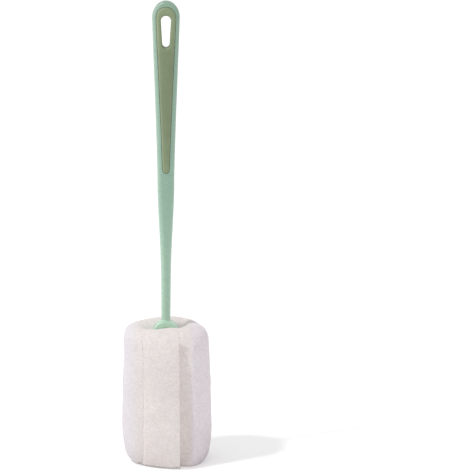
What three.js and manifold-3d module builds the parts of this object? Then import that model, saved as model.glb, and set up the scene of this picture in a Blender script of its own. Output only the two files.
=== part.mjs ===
// Bottle brush with a folded foam head: a moulded handle with a threading loop at its foot, a soft grip
// moulded into the handle's paddle, and one strip of foam folded in two through the loop.
// Millimetres, +Z up along the handle, origin on the floor under the middle of the foam, front towards -Y.

import * as THREE from 'three';
import { mergeVertices } from 'three/addons/utils/BufferGeometryUtils.js';
import Module from 'manifold-3d';

// Fits
const MOULD_GAP = 0.3; // handle to soft grip, all round
const FOAM_GAP = 0.3; // loop to foam, all round

// Foam head, standing on its cut ends
const FOAM_HEIGHT = 97;
const FOAM_WIDTH = 63; // left to right, before the legs' edges round over into the split
const FOAM_DEPTH = 61; // front leg to back leg
const FOAM_SQUARENESS = 2.35; // 2 is an oval plan, more is squarer
const FOAM_TAPER = 2.1; // how much narrower each side is at the shoulder than at the belly
const BASE_ROUND_WIDTH = 10; // rounding of the lower corner, inwards
const BASE_ROUND_HEIGHT = 26; // rounding of the lower corner, upwards
const SHOULDER_WIDTH = 13; // rounding of the upper corner, inwards
const SHOULDER_HEIGHT = 12; // rounding of the upper corner, downwards
const DIMPLE_DEPTH = 2.8; // the fold draws the top in round the loop
const LOBE_CROWN = 0.9; // swell of a lobe between its slits

// Slits between the lobes of a leg, and the split between the legs
const SLIT_FLOOR_RADIUS = 15; // how near the slits come to the middle
const OPEN_SLIT_ANGLE = 26; // degrees from the middle of the leg
const OPEN_SLIT_MOUTH = 9.4;
const OPEN_SLIT_HEIGHT = 90; // where the open mouth has closed in an arch
const OPEN_SLIT_ARCH = 13; // height of that arch
const SHUT_SLIT_ANGLE = 31.5;
const SHUT_SLIT_WIDTH = 0.8;
const SHUT_SLIT_HEIGHT = 86;
const SPLIT_WIDTH = 0.8; // between the front and back legs
const SPLIT_LIP_RADIUS = 4; // rounding where the legs turn into the split
const SPLIT_LIP_DEPTH = 1.6;

// Threading loop at the foot of the handle
const LOOP_WIDTH = 18.8;
const LOOP_HEIGHT = 27;
const LOOP_DEPTH = 9.4;
const LOOP_BAR = 4.6; // thickness of the loop, outside to eye
const LOOP_EDGE = 2; // rounding of its edges
const LOOP_RISE = 2.4; // crown of the loop above the foam

// Handle: sizes across at each station, and the lengths between them
const STEM_FOOT_WIDTH = 6.2;
const STEM_FLARE = 0.5; // fillet where the stem grows out of the loop
const STEM_LENGTH = 42.4;
const STEM_TOP_WIDTH = 7.4;
const STEM_TOP_THICKNESS = 7;
const SWELL_LENGTH = 46;
const SWELL_WIDTH = 11.4;
const SWELL_THICKNESS = 8.2;
const NECK_LENGTH = 15; // nearly parallel stretch below the grip
const NECK_WIDTH = 11.7;
const NECK_THICKNESS = 8.4;
const PADDLE_LENGTH = 105.7;
const HEAD_WIDTH = 18.8;
const HEAD_THICKNESS = 9;
const HEAD_END_LENGTH = 11.5; // oval end above the widest place
const STEM_SQUARENESS = 2;
const PADDLE_SQUARENESS = 2.7;

// Hanging slot: a teardrop with its wide end up
const SLOT_DROP = 10; // end of the handle to the top of the slot
const SLOT_LENGTH = 21.7;
const SLOT_TOP_RADIUS = 3.4;
const SLOT_FOOT_RADIUS = 2.45;

// Soft grip
const GRIP_RIM = 2.6; // hard rim left beside the pad at the paddle's widest place
const GRIP_TIP_RIM = 3.5; // and beside its tip
const GRIP_TIP_LENGTH = 3.8; // round end of the pad
const GRIP_HEAD_RIM = 4.1; // hard rim left above the pad
const GRIP_LENGTH = 113.2;
const GRIP_PROUD = 0.6; // how far the pads stand out of the paddle
const GRIP_LINING = 1.5; // wall of the slot's lining
const WEB_THICKNESS = 3.8; // hard web between the front and back pads
const TIE_DIAMETER = 3; // plugs through the web that tie the pads together
const TIE_SPACING = 22;
const TIE_COUNT = 3;

// Fineness of the surfaces
const OVAL_SIDES = 28;
const RING_PITCH = 7;
const END_RINGS = 6;
const CURVE_STEPS = 8;
const LOBE_STEPS = 6;
const CORNER_STEPS = 4;
const ARCH_STEPS = 4;
const WELD = 1e-4;

// Heights that follow from the sizes above
const loopTop = FOAM_HEIGHT + LOOP_RISE;
const stemTop = loopTop + STEM_LENGTH;
const swellTop = stemTop + SWELL_LENGTH;
const neckTop = swellTop + NECK_LENGTH;
const headCentre = neckTop + PADDLE_LENGTH;
const handleTop = headCentre + HEAD_END_LENGTH;
const slotTopCentre = handleTop - SLOT_DROP - SLOT_TOP_RADIUS;
const slotFootCentre = handleTop - SLOT_DROP - SLOT_LENGTH + SLOT_FOOT_RADIUS;
const gripTop = handleTop - GRIP_HEAD_RIM;
const gripFoot = gripTop - GRIP_LENGTH;
const throughDepth = 4 * Math.max(HEAD_THICKNESS, LOOP_DEPTH);

const wasm = await Module();
wasm.setup();

function toSolid(geometry) {
  const bare = geometry.clone();
  bare.deleteAttribute('normal');
  bare.deleteAttribute('uv');
  const welded = mergeVertices(bare, WELD);
  const mesh = new wasm.Mesh({
    numProp: 3,
    vertProperties: new Float32Array(welded.attributes.position.array),
    triVerts: new Uint32Array(welded.index.array),
  });
  return new wasm.Manifold(mesh);
}

function toGeometry(solid) {
  const mesh = solid.getMesh();
  const geometry = new THREE.BufferGeometry();
  geometry.setAttribute('position', new THREE.BufferAttribute(mesh.vertProperties, 3));
  geometry.setIndex(new THREE.BufferAttribute(mesh.triVerts, 1));
  geometry.computeVertexNormals();
  return geometry;
}

// Skin over a stack of equal rings, each anticlockwise from above, closed by a fan to a point at each end.
function loft(rings, footPoint, topPoint) {
  const count = rings[0].length;
  const points = [...rings.flat(), footPoint, topPoint];
  const foot = points.length - 2;
  const top = points.length - 1;
  const lastRing = (rings.length - 1) * count;
  const faces = [];
  for (let i = 0; i < count; i++) {
    const j = (i + 1) % count;
    for (let start = 0; start < lastRing; start += count) {
      faces.push(start + i, start + j, start + count + j);
      faces.push(start + i, start + count + j, start + count + i);
    }
    faces.push(foot, j, i);
    faces.push(top, lastRing + i, lastRing + j);
  }
  const geometry = new THREE.BufferGeometry().setFromPoints(points);
  geometry.setIndex(faces);
  return geometry;
}

// A shape drawn in X and Z, carried front to back through the part.
function throughPrism(shape, depth = throughDepth) {
  const settings = { depth, bevelEnabled: false, curveSegments: CURVE_STEPS };
  return new THREE.ExtrudeGeometry(shape, settings).translate(0, 0, -depth / 2).rotateX(Math.PI / 2);
}

function piece(name, solid, material) {
  const mesh = new THREE.Mesh(toGeometry(solid), material);
  mesh.name = name;
  return mesh;
}

// Handle

// Width, thickness and squareness of the handle's section, smooth from station to station.
const handleSection = new THREE.CubicInterpolant(
  [loopTop, stemTop, swellTop, neckTop, headCentre],
  [
    ...[STEM_FOOT_WIDTH, STEM_FOOT_WIDTH, STEM_SQUARENESS],
    ...[STEM_TOP_WIDTH, STEM_TOP_THICKNESS, STEM_SQUARENESS],
    ...[SWELL_WIDTH, SWELL_THICKNESS, PADDLE_SQUARENESS],
    ...[NECK_WIDTH, NECK_THICKNESS, PADDLE_SQUARENESS],
    ...[HEAD_WIDTH, HEAD_THICKNESS, PADDLE_SQUARENESS],
  ],
  3,
);

function sectionAt(z) {
  const [width, thickness, squareness] = handleSection.evaluate(z);
  return { halfWidth: width / 2, halfThickness: thickness / 2, squareness };
}

function ovalRing(halfWidth, halfThickness, squareness, z) {
  const power = 2 / squareness;
  return Array.from({ length: OVAL_SIDES }, (_, i) => {
    const angle = (i / OVAL_SIDES) * 2 * Math.PI;
    const across = Math.sign(Math.cos(angle)) * Math.abs(Math.cos(angle)) ** power;
    const through = Math.sign(Math.sin(angle)) * Math.abs(Math.sin(angle)) ** power;
    return new THREE.Vector3(halfWidth * across, halfThickness * through, z);
  });
}

// The handle's outer skin from the loop to its oval end, thicker by a given amount on each face.
function handleSkin(thicker = 0) {
  const rings = [];
  const foot = sectionAt(loopTop);
  const flared = (flare, z) =>
    ovalRing(foot.halfWidth + flare, foot.halfThickness + flare + thicker, foot.squareness, z);
  const root = loopTop - LOOP_BAR / 2;
  rings.push(flared(STEM_FLARE, root), flared(STEM_FLARE, loopTop));
  for (let i = 1; i < CORNER_STEPS; i++) {
    const turn = (i / CORNER_STEPS) * (Math.PI / 2);
    rings.push(flared(STEM_FLARE * (1 - Math.sin(turn)), loopTop + STEM_FLARE * (1 - Math.cos(turn))));
  }
  const shaftFoot = loopTop + STEM_FLARE;
  const steps = Math.ceil((headCentre - shaftFoot) / RING_PITCH);
  for (let i = 0; i <= steps; i++) {
    const z = THREE.MathUtils.lerp(shaftFoot, headCentre, i / steps);
    const { halfWidth, halfThickness, squareness } = sectionAt(z);
    rings.push(ovalRing(halfWidth, halfThickness + thicker, squareness, z));
  }
  const head = sectionAt(headCentre);
  for (let i = 1; i < END_RINGS; i++) {
    const turn = (i / END_RINGS) * (Math.PI / 2);
    const width = head.halfWidth * Math.cos(turn);
    const thickness = (head.halfThickness + thicker) * Math.sqrt(Math.cos(turn));
    rings.push(ovalRing(width, thickness, head.squareness, headCentre + HEAD_END_LENGTH * Math.sin(turn)));
  }
  return loft(rings, new THREE.Vector3(0, 0, root), new THREE.Vector3(0, 0, handleTop));
}

// The loop's stadium outline, grown outwards by a given amount; its eye shrinks by the same amount.
function stadium(halfWidth, lowCentre, highCentre) {
  const outline = new THREE.Shape();
  outline.absarc(0, highCentre, halfWidth, 0, Math.PI);
  outline.absarc(0, lowCentre, halfWidth, Math.PI, 2 * Math.PI);
  outline.closePath();
  return outline;
}

function loopOutlines(grown) {
  const outer = LOOP_WIDTH / 2;
  const highCentre = loopTop - outer;
  const lowCentre = loopTop - LOOP_HEIGHT + outer;
  const ring = stadium(outer + grown, lowCentre, highCentre);
  const eye = stadium(outer - LOOP_BAR - grown, lowCentre, highCentre);
  return { ring, eye };
}

function loopSolid(grown = 0) {
  const { ring, eye } = loopOutlines(grown);
  ring.holes.push(eye);
  const depth = LOOP_DEPTH + 2 * grown - 2 * LOOP_EDGE;
  const settings = {
    depth,
    bevelThickness: LOOP_EDGE,
    bevelSize: LOOP_EDGE,
    bevelOffset: -LOOP_EDGE,
    bevelSegments: 2,
    curveSegments: CURVE_STEPS,
  };
  const geometry = new THREE.ExtrudeGeometry(ring, settings);
  return toSolid(geometry.translate(0, 0, -depth / 2).rotateX(Math.PI / 2));
}

// Hanging slot and grip outlines

// Two arcs joined by the straight lines that touch both, grown outwards by a given amount.
function slotOutline(grown = 0) {
  const topRadius = SLOT_TOP_RADIUS + grown;
  const footRadius = SLOT_FOOT_RADIUS + grown;
  const lean = Math.asin((topRadius - footRadius) / (slotTopCentre - slotFootCentre));
  const outline = new THREE.Shape();
  outline.absarc(0, slotTopCentre, topRadius, -lean, Math.PI + lean);
  outline.absarc(0, slotFootCentre, footRadius, Math.PI + lean, 2 * Math.PI - lean);
  outline.closePath();
  return outline;
}

// The hard rim beside the pad narrows from the pad's tip up to the paddle's widest place.
function rimAt(z) {
  return THREE.MathUtils.mapLinear(z, gripFoot, headCentre, GRIP_TIP_RIM, GRIP_RIM);
}

// The pad follows the paddle's edge at the width of the rim, with an oval top and a round tip.
function gripOutline(inset = 0) {
  const padHalfWidth = (z) => sectionAt(z).halfWidth - rimAt(z) - inset;
  const tipCentre = gripFoot + GRIP_TIP_LENGTH;
  const steps = Math.ceil((headCentre - tipCentre) / (2 * RING_PITCH));
  const outline = new THREE.Shape();
  for (let i = 0; i <= steps; i++) {
    const z = THREE.MathUtils.lerp(tipCentre, headCentre, i / steps);
    if (i === 0) outline.moveTo(padHalfWidth(z), z);
    else outline.lineTo(padHalfWidth(z), z);
  }
  const topReach = gripTop - inset - headCentre;
  outline.absellipse(0, headCentre, padHalfWidth(headCentre), topReach, 0, Math.PI, false, 0);
  for (let i = 1; i <= steps; i++) {
    const z = THREE.MathUtils.lerp(headCentre, tipCentre, i / steps);
    outline.lineTo(-padHalfWidth(z), z);
  }
  const tipReach = GRIP_TIP_LENGTH - inset;
  outline.absellipse(0, tipCentre, padHalfWidth(tipCentre), tipReach, Math.PI, 2 * Math.PI, false, 0);
  return outline;
}

// Round plugs (or the holes for them) through the web, in a row below the slot.
function tiePlugs(diameter) {
  const first = slotFootCentre - SLOT_FOOT_RADIUS - TIE_SPACING;
  return Array.from({ length: TIE_COUNT }, (_, i) => {
    const plug = new THREE.CylinderGeometry(diameter / 2, diameter / 2, throughDepth, 2 * CURVE_STEPS);
    return toSolid(plug.translate(0, 0, first - i * TIE_SPACING));
  });
}

function handleBody() {
  const recess = throughPrism(gripOutline());
  const recessShift = (throughDepth + WEB_THICKNESS) / 2;
  let body = toSolid(handleSkin()).add(loopSolid());
  body = body.subtract(toSolid(recess.clone().translate(0, recessShift, 0)));
  body = body.subtract(toSolid(recess.translate(0, -recessShift, 0)));
  body = body.subtract(toSolid(throughPrism(slotOutline(GRIP_LINING + MOULD_GAP))));
  for (const hole of tiePlugs(TIE_DIAMETER)) body = body.subtract(hole);
  return body;
}

function softGrip() {
  const outline = toSolid(throughPrism(gripOutline(MOULD_GAP)));
  const webHeight = 2 * GRIP_LENGTH;
  const web = new THREE.BoxGeometry(2 * HEAD_WIDTH, WEB_THICKNESS + 2 * MOULD_GAP, webHeight);
  let webCut = toSolid(web.translate(0, 0, (gripTop + gripFoot) / 2));
  webCut = webCut.subtract(toSolid(throughPrism(slotOutline(GRIP_LINING))));
  for (const plug of tiePlugs(TIE_DIAMETER - 2 * MOULD_GAP)) webCut = webCut.subtract(plug);
  const pads = toSolid(handleSkin(GRIP_PROUD)).intersect(outline).subtract(webCut);
  return pads.subtract(toSolid(throughPrism(slotOutline())));
}

// Foam

// Degrees round the plan from the right-hand side, where the split comes out, to the front leg's middle.
const FRONT = 270;
const HALF_TURN = 180;

// Where lobes end, in degrees: the split, the two front slits, and the same again on the back leg, half a
// turn on.
const frontLobeEnds = [HALF_TURN, FRONT - SHUT_SLIT_ANGLE, FRONT + OPEN_SLIT_ANGLE];
const lobeEnds = [...frontLobeEnds.map((angle) => angle - HALF_TURN), ...frontLobeEnds, 2 * HALF_TURN];

// How full a lobe is along its width, for the three lobes of a leg: full at the split, drawn in at a slit.
const lobeFullness = [
  (share) => Math.cos((share * Math.PI) / 2),
  (share) => Math.sin(share * Math.PI),
  (share) => Math.sin((share * Math.PI) / 2),
];

// Side profile of the foam as distances in from the belly's edge, and heights.
function foamProfile() {
  const profile = [];
  for (let i = 0; i <= CORNER_STEPS; i++) {
    const turn = (i / CORNER_STEPS) * (Math.PI / 2);
    const inset = BASE_ROUND_WIDTH * (1 - Math.sin(turn));
    profile.push(new THREE.Vector2(inset, BASE_ROUND_HEIGHT * (1 - Math.cos(turn))));
  }
  for (let i = 0; i <= CORNER_STEPS; i++) {
    const turn = (i / CORNER_STEPS) * (Math.PI / 2);
    const inset = FOAM_TAPER + SHOULDER_WIDTH * (1 - Math.cos(turn));
    profile.push(new THREE.Vector2(inset, FOAM_HEIGHT - SHOULDER_HEIGHT * (1 - Math.sin(turn))));
  }
  const crest = FOAM_TAPER + SHOULDER_WIDTH;
  const dimpleFoot = FOAM_DEPTH / 2 - LOOP_DEPTH / 2;
  for (let i = 1; i <= CORNER_STEPS; i++) {
    const share = i / CORNER_STEPS;
    const drop = (DIMPLE_DEPTH * (1 - Math.cos(share * Math.PI))) / 2;
    profile.push(new THREE.Vector2(THREE.MathUtils.lerp(crest, dimpleFoot, share), FOAM_HEIGHT - drop));
  }
  return profile;
}

// One point of the foam's skin: a place round the plan, drawn in by the profile's inset and rounded over
// into the split.
function foamPoint({ angle, fullness }, inset, z) {
  const across = Math.abs(Math.cos(angle)) ** FOAM_SQUARENESS;
  const through = Math.abs(Math.sin(angle)) ** FOAM_SQUARENESS;
  const reach = (across + through) ** (-1 / FOAM_SQUARENESS);
  const splitDistance = Math.abs(Math.sin(angle)) * (FOAM_DEPTH / 2 - inset);
  const lip = SPLIT_LIP_DEPTH * Math.max(0, 1 - splitDistance / SPLIT_LIP_RADIUS) ** 2;
  const sideways = Math.min(1, (FOAM_HEIGHT - z) / SHOULDER_HEIGHT);
  const pull = inset + LOBE_CROWN * (1 - fullness) + lip * sideways;
  const x = (FOAM_WIDTH / 2 - pull) * reach * Math.cos(angle);
  const y = (FOAM_DEPTH / 2 - pull) * reach * Math.sin(angle);
  return new THREE.Vector3(x, y, z - lip * (1 - sideways));
}

function foamSkin() {
  const places = [];
  for (let lobe = 0; lobe + 1 < lobeEnds.length; lobe++) {
    for (let i = 0; i < LOBE_STEPS; i++) {
      const share = (1 - Math.cos((i / LOBE_STEPS) * Math.PI)) / 2;
      const degrees = THREE.MathUtils.lerp(lobeEnds[lobe], lobeEnds[lobe + 1], share);
      const fullness = lobeFullness[lobe % lobeFullness.length](share);
      places.push({ angle: THREE.MathUtils.degToRad(degrees), fullness });
    }
  }
  const rings = foamProfile().map(({ x: inset, y: z }) =>
    places.map((place) => foamPoint(place, inset, z)),
  );
  const dimple = new THREE.Vector3(0, 0, FOAM_HEIGHT - DIMPLE_DEPTH);
  return loft(rings, new THREE.Vector3(), dimple);
}

// A slit's cutter: a narrow wedge out from the slit's floor whose mouth closes in an arch at the top.
function slitCutter(degrees, mouth, floorWidth, height, arch) {
  const angle = THREE.MathUtils.degToRad(degrees);
  const outwards = new THREE.Vector3(Math.cos(angle), Math.sin(angle), 0);
  const sideways = new THREE.Vector3(-Math.sin(angle), Math.cos(angle), 0);
  const rim = Math.max(FOAM_WIDTH, FOAM_DEPTH) / 2;
  const reach = 2 * rim;
  const growth = (reach - SLIT_FLOOR_RADIUS) / (rim - SLIT_FLOOR_RADIUS);
  const section = (open, z) => {
    const near = floorWidth / 2;
    const far = near + ((mouth - floorWidth) / 2) * open * growth;
    const corner = (along, side) =>
      new THREE.Vector3(0, 0, z).addScaledVector(outwards, along).addScaledVector(sideways, side);
    return [
      corner(SLIT_FLOOR_RADIUS, -near),
      corner(reach, -far),
      corner(reach, far),
      corner(SLIT_FLOOR_RADIUS, near),
    ];
  };
  const middle = (SLIT_FLOOR_RADIUS + reach) / 2;
  const rings = [section(1, -BASE_ROUND_HEIGHT)];
  for (let i = 0; i <= ARCH_STEPS; i++) {
    const turn = (i / ARCH_STEPS) * (Math.PI / 2);
    rings.push(section(Math.cos(turn), height - arch * (1 - Math.sin(turn))));
  }
  const footPoint = outwards.clone().multiplyScalar(middle).setZ(-BASE_ROUND_HEIGHT);
  return toSolid(loft(rings, footPoint, outwards.clone().multiplyScalar(middle).setZ(height)));
}

function spongeStrip() {
  let foam = toSolid(foamSkin());
  for (const turned of [0, HALF_TURN]) {
    const open = FRONT + OPEN_SLIT_ANGLE + turned;
    const shut = FRONT - SHUT_SLIT_ANGLE + turned;
    foam = foam.subtract(
      slitCutter(open, OPEN_SLIT_MOUTH, SHUT_SLIT_WIDTH, OPEN_SLIT_HEIGHT, OPEN_SLIT_ARCH),
    );
    foam = foam.subtract(
      slitCutter(shut, SHUT_SLIT_WIDTH, SHUT_SLIT_WIDTH, SHUT_SLIT_HEIGHT, OPEN_SLIT_ARCH),
    );
  }
  const split = new THREE.BoxGeometry(2 * FOAM_WIDTH, SPLIT_WIDTH, 4 * FOAM_HEIGHT);
  const fold = toSolid(throughPrism(loopOutlines(FOAM_GAP).eye));
  return foam.subtract(toSolid(split).subtract(fold)).subtract(loopSolid(FOAM_GAP));
}

const mintPlastic = new THREE.MeshStandardMaterial({ color: '#a5c4ae', roughness: 0.42, metalness: 0 });
const oliveRubber = new THREE.MeshStandardMaterial({ color: '#84937a', roughness: 0.6, metalness: 0 });
const whiteFoam = new THREE.MeshStandardMaterial({ color: '#ece5e1', roughness: 0.95, metalness: 0 });

const brush = new THREE.Group();
brush.name = 'bottle_brush';
brush.add(piece('handle_body', handleBody(), mintPlastic));
brush.add(piece('soft_grip', softGrip(), oliveRubber));
brush.add(piece('sponge_strip', spongeStrip(), whiteFoam));

export default brush;
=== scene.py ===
"""Looks of the bottle brush: its moulded handle, the soft grip in it and the folded foam head."""

import math

import bmesh
import bpy
import numpy as np
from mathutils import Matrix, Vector, noise
from mathutils.geometry import delaunay_2d_cdt


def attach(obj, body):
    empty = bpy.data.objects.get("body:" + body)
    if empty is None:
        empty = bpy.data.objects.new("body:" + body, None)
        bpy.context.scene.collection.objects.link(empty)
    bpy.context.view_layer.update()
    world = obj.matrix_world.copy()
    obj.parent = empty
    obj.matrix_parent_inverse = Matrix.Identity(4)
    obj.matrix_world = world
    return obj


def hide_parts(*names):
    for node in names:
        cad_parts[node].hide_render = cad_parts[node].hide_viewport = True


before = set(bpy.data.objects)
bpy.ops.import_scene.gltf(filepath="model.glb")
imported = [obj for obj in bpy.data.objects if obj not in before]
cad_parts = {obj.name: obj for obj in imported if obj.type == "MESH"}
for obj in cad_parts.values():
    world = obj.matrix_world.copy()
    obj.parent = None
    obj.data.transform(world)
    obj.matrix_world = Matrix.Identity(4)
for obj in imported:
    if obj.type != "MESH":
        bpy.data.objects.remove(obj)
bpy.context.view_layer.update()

MM = 0.001
TINY = 1e-6  # a length that counts as none

# Sizes of the solids, in millimetres
FOAM_HEIGHT = 97
FOAM_WIDTH = 63
FOAM_DEPTH = 61
FOAM_SQUARENESS = 2.35
FOAM_TAPER = 2.1
BASE_ROUND_WIDTH = 10
BASE_ROUND_HEIGHT = 26
SHOULDER_WIDTH = 13
SHOULDER_HEIGHT = 12
LOBE_CROWN = 0.9
SLIT_FLOOR_RADIUS = 15
OPEN_SLIT_HEIGHT = 90
OPEN_SLIT_ARCH = 13
SHUT_SLIT_HEIGHT = 86
SPLIT_LIP_RADIUS = 4
SPLIT_LIP_DEPTH = 1.6
LOOP_WIDTH = 18.8
LOOP_HEIGHT = 27
LOOP_DEPTH = 9.4
LOOP_BAR = 4.6
LOOP_RISE = 2.4
STEM_FOOT_WIDTH = 6.2
STEM_LENGTH = 42.4
STEM_TOP_WIDTH = 7.4
STEM_TOP_THICKNESS = 7
SWELL_LENGTH = 46
SWELL_WIDTH = 11.4
SWELL_THICKNESS = 8.2
NECK_LENGTH = 15
NECK_WIDTH = 11.7
NECK_THICKNESS = 8.4
PADDLE_LENGTH = 105.7
HEAD_WIDTH = 18.8
HEAD_THICKNESS = 9
HEAD_END_LENGTH = 11.5
STEM_SQUARENESS = 2
PADDLE_SQUARENESS = 2.7
SLOT_DROP = 10
SLOT_LENGTH = 21.7
SLOT_TOP_RADIUS = 3.4
SLOT_FOOT_RADIUS = 2.45
GRIP_RIM = 2.6
GRIP_TIP_RIM = 3.5
GRIP_TIP_LENGTH = 3.8
GRIP_HEAD_RIM = 4.1
GRIP_LENGTH = 113.2
GRIP_PROUD = 0.6
GRIP_LINING = 1.5
WEB_THICKNESS = 3.8
MOULD_GAP = 0.3

# Finer forms of the handle and its grip
RIM_ROUND = 0.3  # edge of the handle's recess
PAD_ROUND = 1.1  # outer edge of a pad
PAD_CROWN = 0.35  # swell of a pad between its edges
PAD_CROWN_REACH = 4  # how far in from its edge that rises
SEAM = 0.06  # between the handle and a pad
SLOT_ROUND = 1.5  # edge of the hanging slot
LOOP_ROUND = 1.1  # edges of the loop, sharper than in the solids
STEM_FILLET = 0.5  # where the stem meets the crown of the loop
CROWN_FADE = 6  # how far up the stem its rows follow that crown

# Finer forms of the foam
FOAM_CONTACT = 0.12  # left between the loop and the foam
DIMPLE_DEPTH = 2.2  # how far the fold sinks to the loop, less than in the solids
SPLIT_WIDTH = 0.3  # between the two legs, less than in the solids
SPLIT_CLOSED = 0.9  # share of the split's rounding that is lost at the left side of the loop
SPLIT_CLOSED_REACH = 5
SPLIT_OPENED = 0.7  # and share that is added at its right
SPLIT_OPENED_EARLY = 1  # beginning this far short of the loop's right side
SPLIT_OPENED_REACH = 8
SLIT_WIDTH = 0.04  # between a slit's two walls
SLIT_LIP = 0.15  # where a lobe turns in to its slit
SLIT_LIP_SHARE = 0.3  # and at most this share of the slit's depth
SLIT_OVERRUN = 1  # how far above its top a slit has run out
SLIT_RUN_OUT = 6  # and over what height it does so
SLIT_LEAST = 0.1  # with less than this share of its depth it is left out
PANEL_LEFT = 16.2  # from the middle of the foam to the shut edge of a leg's middle lobe
PANEL_RIGHT = 8.5  # and to its open edge
PANEL_LIMIT = 0.8  # but at most this share of the foam's half width
PANEL_SPREAD = 0.8  # how much wider it is at its foot
PANEL_ROUND = 2.4  # rounding of its shut edge
PANEL_PROUD = 0.5  # how far it stands out
PANEL_CROWN = 0.35  # and swells between its edges
PANEL_TURN = 4.5  # how far its foot is turned out at the open edge
PANEL_TURN_HEIGHT = 40  # and how far up
PANEL_HINGE = 0.39  # and about which share of its width, from the shut edge
SET_BACK = 2.2  # how far the lobe beside its shut edge is set back there
SET_BACK_FROM = 0.6  # from which share of that lobe's width
SET_BACK_HEIGHT = 60  # all lobes are fully set back this far below the top of the shut slit
FOOT_SET_BACK = 3.5  # how much further that lobe is set back at its foot
FOOT_SET_BACK_HEIGHT = 12
FOOT_SET_BACK_SHARE = 0.5  # growing over this share of its width
FOOT_FALL = 1.5  # power with which what happens at the foot falls off upwards
OPEN_SET_BACK = 1.8  # how far the lobe beside the open edge is set back
OPEN_SET_BACK_SHARE = 0.7  # over this share of its width
OPEN_FOOT_SHARE = 0.3  # at the cut ends only this share of it is left
OPEN_FOOT_HEIGHT = 12
GROOVE_WIDTH = 11.2  # from the open edge to where the next lobe begins to roll in
GROOVE_LEAST = 0.6  # and at least this share of it up the shoulder
GROOVE_HEIGHTS = (0, 4, 12, 25, 45, 75)  # how deep the groove between them is at these heights
GROOVE_DEPTHS = (0.8, 5.0, 7.2, 6.8, 5.0, 3.2)
GROOVE_BROW = 0.2  # how far the lobe runs on before it rolls in, as a share of the groove's width
GROOVE_SWEEP = 0.6  # and how far along the groove it then comes in
CREST_RISE = 1.5  # how much higher the fold's back is in its middle than at its ends
CREST_PLACE = 1.5  # where it is highest, to the right of the handle
CREST_BACK = 8  # and how far behind it
LOOP_DIPS = (  # x, y, reach and depth of hollows round the loop; a depth below zero is a rise
    (-8.5, -7, 5.5, 4.4),
    (9, -6, 4, 1.5),
    (10, 3.5, 4.5, 4.0),
    (12, 9, 4, 2.4),
    (19, 7, 5, 0.9),
    (17, 15.5, 7, -0.8),
)
FOLD_SLOPE = 2.0  # how far the fold leans in, front and back, below its shoulder
FOLD_SLOPE_FOOT = 76  # where that begins
FOLD_SLOPE_TOP = 94  # and ends
FOLD_SLOPE_REACH = 12  # it fades out this near to the middle

# The foam's give at each point of its skin. A pair: where a change starts or ends, and its reach
UNEVENNESS = (  # height, grain and place in the noise, from broad to fine
    (0.40, 16, (0, 0, 0)),
    (0.16, 5, (7, 3, 1)),
    (0.07, 1.8, (2, 9, 5)),
)
NOISE_SEED = 1  # without it the noise starts from the clock
UNEVEN_FROM_AXIS = (10, 6)
UNEVEN_LEAST = 0.1  # share of it that is left beside the loop
FOAM_LEAN = 0.5  # the foam hangs a little to the right of the handle
LEAN_FROM_AXIS = (12, 8)
LEFT_FOOT_LEAN = 1.4  # how much more its left foot does, as a share
LEFT_FOOT_UP = (45, 30)
LEFT_FOOT_ACROSS = (16, 8)
FULL_SHOULDER = 2.0  # how much fuller the upper left corner is
FULL_SHOULDER_RIGHT = 0.25  # and the right one, as a share of that
FULL_SHOULDER_UP = (95, 5)
FULL_SHOULDER_ACROSS = 30
SWELLS = (  # across, height, reach across, reach up and rise of soft swells on a leg
    (19.4, 84.5, 3.2, 5, 1.6),
    (-21, 79, 4.5, 9, -0.9),
)
SWELLS_FROM_SPLIT = (15, 6)
FULL_FOOT = 4.0  # how much fuller the front of the right foot is
FULL_FOOT_ACROSS = (9, 4)
FULL_FOOT_LEFT = 3.6  # and of the left one
FULL_FOOT_LEFT_ACROSS = (12, 6)
FULL_FOOT_BACK = (8, 14)
FULL_FOOT_FALL = 3.2  # height over which that falls off
FOOT_CORNER = (25, 7)  # beyond this, out at the sides, the foot's corners are rounder
FOOT_CORNER_SHARE = 0.55
FOOT_CORNER_FALL = 10
LEFT_LIFT = 0.6  # how far the front leg's left lobe hangs clear of the floor
LEFT_LIFT_ACROSS = (11.5, 6)
LEFT_LIFT_FRONT = (0, 6)
LEFT_LIFT_HEIGHT = 25
CUT_END = 0.01  # what lies below this belongs to the flat cut ends

# Points and spacings of the meshes
WELD = 0.001  # points nearer than this become one
SLIVER = 0.0005  # edges shorter than this go
PLANE_MERGE = 1e-5
DISTANCE_BATCH = 500
MOULDED_SHARP = 40  # edges bent more than this, in degrees, look sharp
FOAM_SHARP = 60
PAD_SIDE_POINTS = 120
PAD_ARC_POINTS = 80
SLOT_ARC_POINTS = 60
RECESS_PITCH = 0.7
PAD_PITCH = 0.6
LINING_PITCH = 0.6
SLOT_PITCH = 0.3
HANDLE_COLUMNS = 44
HANDLE_ROWS = 130
HANDLE_END_ROWS = 18
HANDLE_ROWS_FROM = 2.6  # above the loop's crown
HANDLE_CLEAR = 1.0  # between the recess and the next points of the handle's skin
FLAT_RADIAN = 7.0  # length on the flat pattern of a radian round the section
FILLET_ROWS = (0.06, 0.16, 0.32, 0.55, 0.8, 1.2, 1.8)  # as shares of the fillet
RIM_BANDS = (0, 0.08, 0.22, 0.45, 0.75, 1, 1.5)  # as shares of each rounding
PAD_BANDS = (0, 0.07, 0.2, 0.42, 0.7, 1, 1.5)
SLOT_BANDS = (0, 0.05, 0.15, 0.32, 0.55, 0.8, 1.1)
RECESS_WALL = (0, 0.5, 1)  # as shares of a wall's depth
PAD_WALL = (0, 0.4, 1)
SLOT_WALL_ROWS = 11
PAD_GRID_HALF = 9
PAD_GRID_ACROSS = 0.9
PAD_GRID_UP = 1.2
PAD_GRID_CLEAR = 0.4
LOOP_ARC_POINTS = 49
LOOP_SIDE_POINTS = 10
LOOP_CORNER_STEPS = 6
FOOT_ROWS = 26
SIDE_ROWS = 58
SHOULDER_ROWS = 20
DIMPLE_ROWS = 14
LOBE_POINTS = 41
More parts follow.
